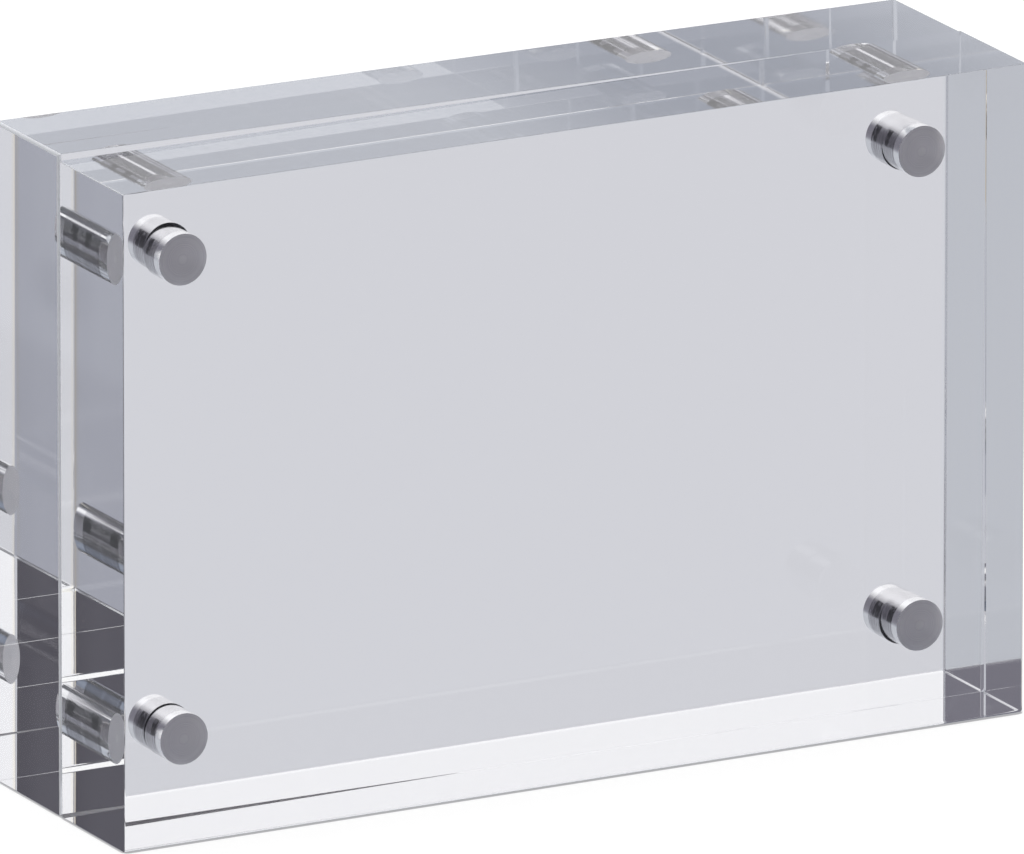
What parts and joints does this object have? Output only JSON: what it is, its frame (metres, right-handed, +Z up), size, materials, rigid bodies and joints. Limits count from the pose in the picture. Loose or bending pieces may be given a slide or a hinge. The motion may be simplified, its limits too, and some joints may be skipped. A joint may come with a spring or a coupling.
{
  "type": "acrylic block frame",
  "caption": "Free-standing photo frame of thick clear acrylic blocks that disc magnets in the corners hold face to face; the front block pulls away to take a print.",
  "frame": {"origin": "middle of the footprint, on the surface that the frame stands on, at rest", "axes": "+Z up; the picture faces -Y; +X runs to the right as seen from the front, along the long edge"},
  "size_m": [0.15, 0.0406, 0.1009],
  "materials": {
    "front_acrylic": "clear cast acrylic, polished on every face",
    "back_acrylic": "clear cast acrylic, polished on every face",
    "magnet_nickel": "bright nickel plate, turned end faces"
  },
  "bodies": {
    "back_half": {"back_block": "back_acrylic", "back_top_left_magnet": "magnet_nickel", "back_top_right_magnet": "magnet_nickel", "back_bottom_left_magnet": "magnet_nickel", "back_bottom_right_magnet": "magnet_nickel"},
    "front_half": {"front_block": "front_acrylic", "front_top_left_magnet": "magnet_nickel", "front_top_right_magnet": "magnet_nickel", "front_bottom_left_magnet": "magnet_nickel", "front_bottom_right_magnet": "magnet_nickel"}
  },
  "joints": [
    {"name": "pull_apart", "type": "slide", "parent": "back_half", "child": "front_half", "axis": [0, -1, 0], "range_m": [0, 0.04]}
  ]
}
